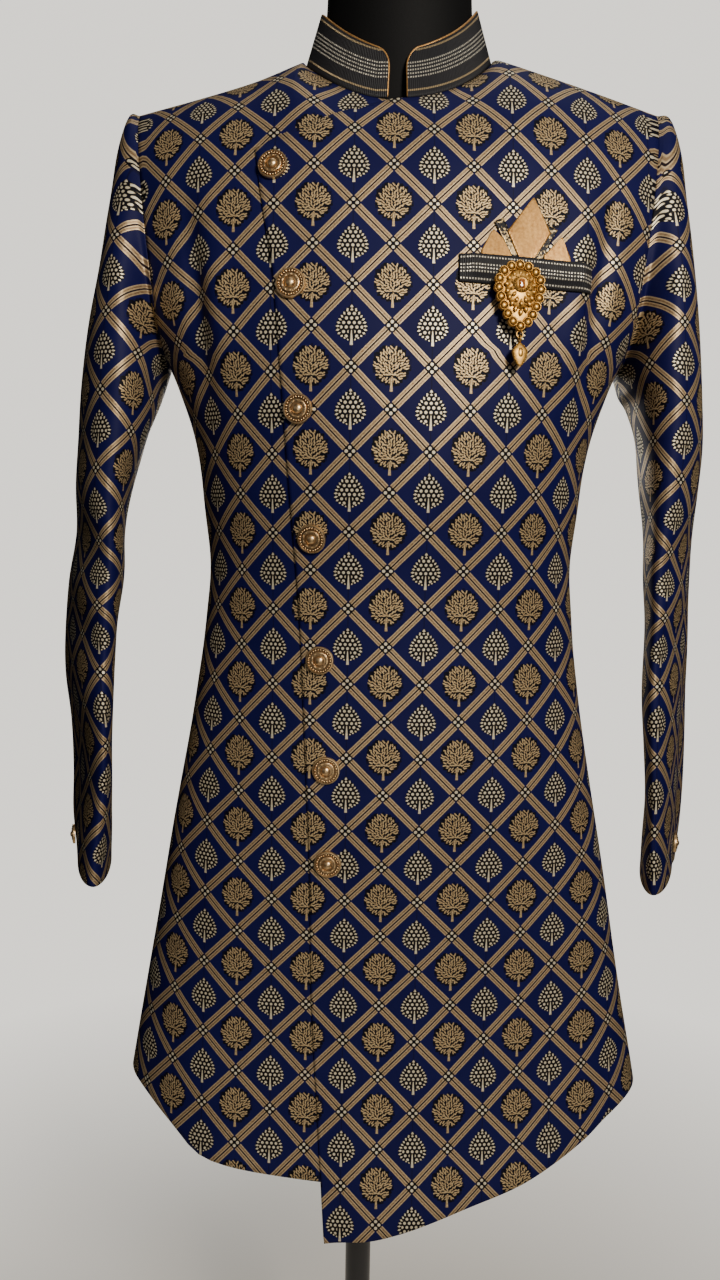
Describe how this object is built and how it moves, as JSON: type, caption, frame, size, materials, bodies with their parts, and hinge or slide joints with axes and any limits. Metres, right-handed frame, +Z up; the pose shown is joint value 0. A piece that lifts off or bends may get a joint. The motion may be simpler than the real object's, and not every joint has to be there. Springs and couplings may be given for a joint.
{
  "type": "asymmetric indo-western coat on a dress form with stand",
  "caption": "Knee-length coat with band collar, slanted overlap, curved split hem, domed buttons, breast welt and hanging brooch, on a limbless dress form with pole and round base.",
  "frame": {"origin": "under the form's upright axis, on the underside of the round base", "axes": "+Z up, -Y to the front of the coat, +X to the wearer's left"},
  "size_m": [0.611, 0.34, 1.594],
  "materials": {
    "brocade": "woven navy brocade with dull gold figures",
    "trim_band": "black ribbed band with metallic lines",
    "satin": "old gold satin",
    "button_metal": "antique gold plate, beaded",
    "brooch_metal": "antique gold plate with brown stone",
    "form_cover": "matte black",
    "stand_enamel": "black enamel"
  },
  "bodies": {
    "root": {"front_under": "brocade", "front_upper": "brocade", "back": "brocade", "sleeve_right": "brocade", "sleeve_left": "brocade", "collar": "trim_band", "pocket_welt": "trim_band", "button_1": "button_metal", "button_2": "button_metal", "button_3": "button_metal", "button_4": "button_metal", "button_5": "button_metal", "button_6": "button_metal", "button_7": "button_metal", "cuff_button_right": "button_metal", "cuff_button_left": "button_metal", "pocket_square_right": "satin", "pocket_square_left": "satin", "pocket_square_middle": "satin", "brooch": "brooch_metal", "form_torso": "form_cover", "stand_pole": "stand_enamel", "stand_base": "stand_enamel"},
    "drop": {"brooch_drop": "brooch_metal"}
  },
  "joints": [
    {"name": "drop_swing", "type": "hinge", "parent": "root", "child": "drop", "pos_m": [0.09509, -0.11993, 1.23692], "axis": [0.1781, -0.9769, 0.1181], "range_deg": [-60, 60]}
  ]
}
